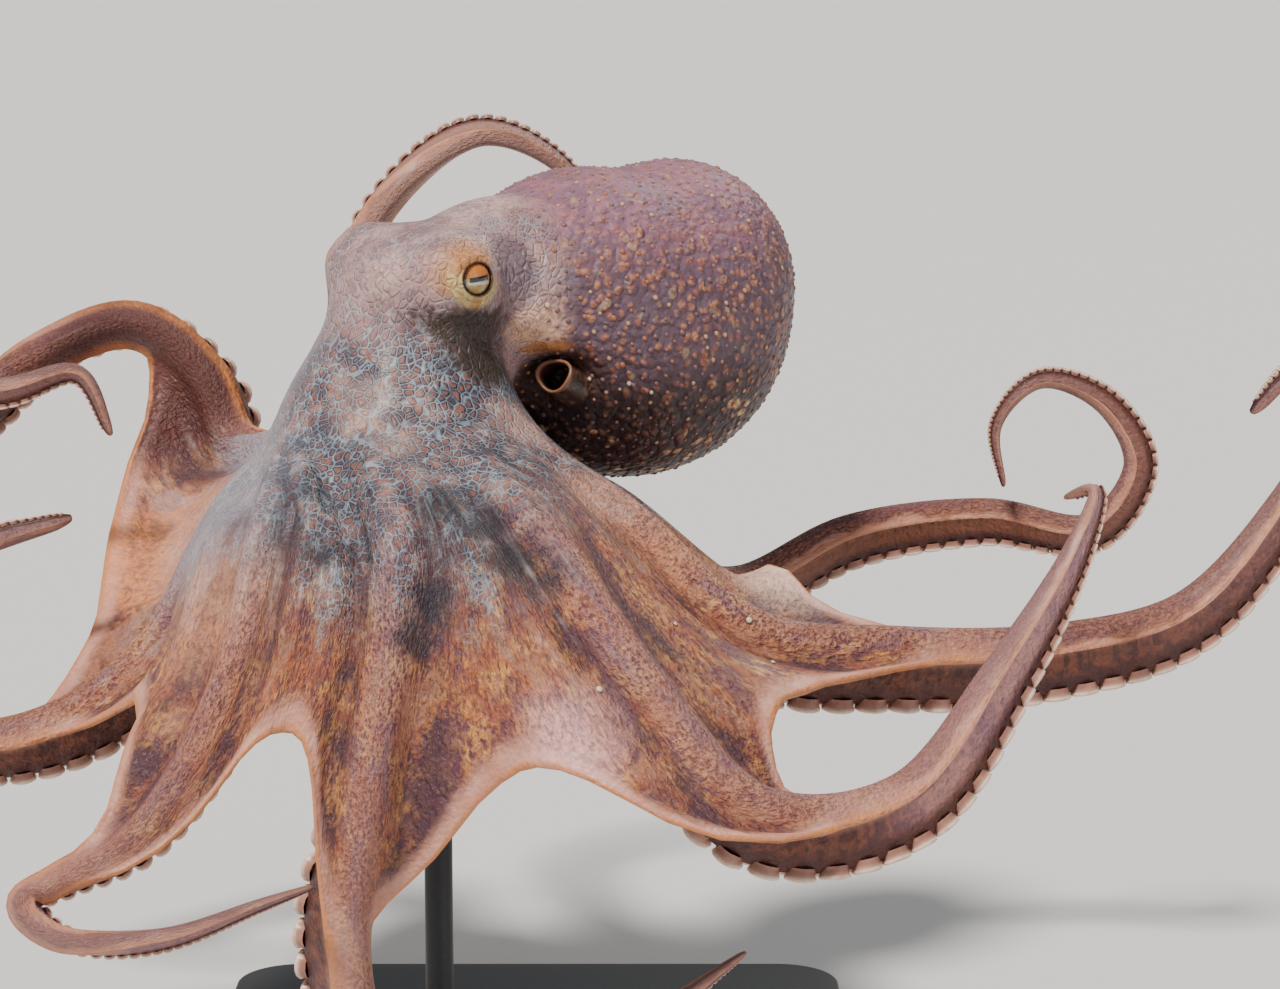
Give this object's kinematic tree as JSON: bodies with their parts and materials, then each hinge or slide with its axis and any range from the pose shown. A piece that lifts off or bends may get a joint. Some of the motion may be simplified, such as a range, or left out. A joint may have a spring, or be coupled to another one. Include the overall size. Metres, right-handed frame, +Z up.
{
  "type": "common octopus model",
  "caption": "Life-size common octopus swimming with spread, webbed arms, mantle trailing behind, held on a rod above a flat display base.",
  "frame": {"origin": "middle of the underside of the stand's base", "axes": "+X towards the trailing arms of the left side, +Y away from the side that the model is looked at from, +Z up; the animal faces azimuth -137 degrees"},
  "size_m": [0.6863, 0.4558, 0.4338],
  "materials": {
    "skin": "wet, mottled red-brown, mauve and cream skin with fine bumps",
    "web": "wet, golden-orange web mottled with purple",
    "eye": "glossy, orange and cream iris with a dark slit pupil",
    "stand": "satin dark grey paint on steel"
  },
  "bodies": {
    "root": {"arm_left_1_free": "skin", "arm_left_1_middle": "skin", "arm_left_1_root": "skin", "arm_left_1_tip": "skin", "arm_left_2_free": "skin", "arm_left_2_middle": "skin", "arm_left_2_root": "skin", "arm_left_2_tip": "skin", "arm_left_3_free": "skin", "arm_left_3_middle": "skin", "arm_left_3_root": "skin", "arm_left_3_tip": "skin", "arm_left_4_free": "skin", "arm_left_4_middle": "skin", "arm_left_4_root": "skin", "arm_left_4_tip": "skin", "arm_right_1_free": "skin", "arm_right_1_middle": "skin", "arm_right_1_root": "skin", "arm_right_1_tip": "skin", "arm_right_2_free": "skin", "arm_right_2_middle": "skin", "arm_right_2_root": "skin", "arm_right_2_tip": "skin", "arm_right_3_free": "skin", "arm_right_3_middle": "skin", "arm_right_3_root": "skin", "arm_right_3_tip": "skin", "arm_right_4_free": "skin", "arm_right_4_middle": "skin", "arm_right_4_root": "skin", "arm_right_4_tip": "skin", "eye_left": "eye", "eye_right": "eye", "funnel": "skin", "head": "skin", "mantle": "skin", "mouth": "skin", "stand_base": "stand", "stand_rod": "stand", "web_front": "web", "web_left_1_2": "web", "web_left_2_3": "web", "web_left_3_4": "web", "web_rear": "web", "web_right_1_2": "web", "web_right_2_3": "web", "web_right_3_4": "web"}
  },
  "joints": []
}
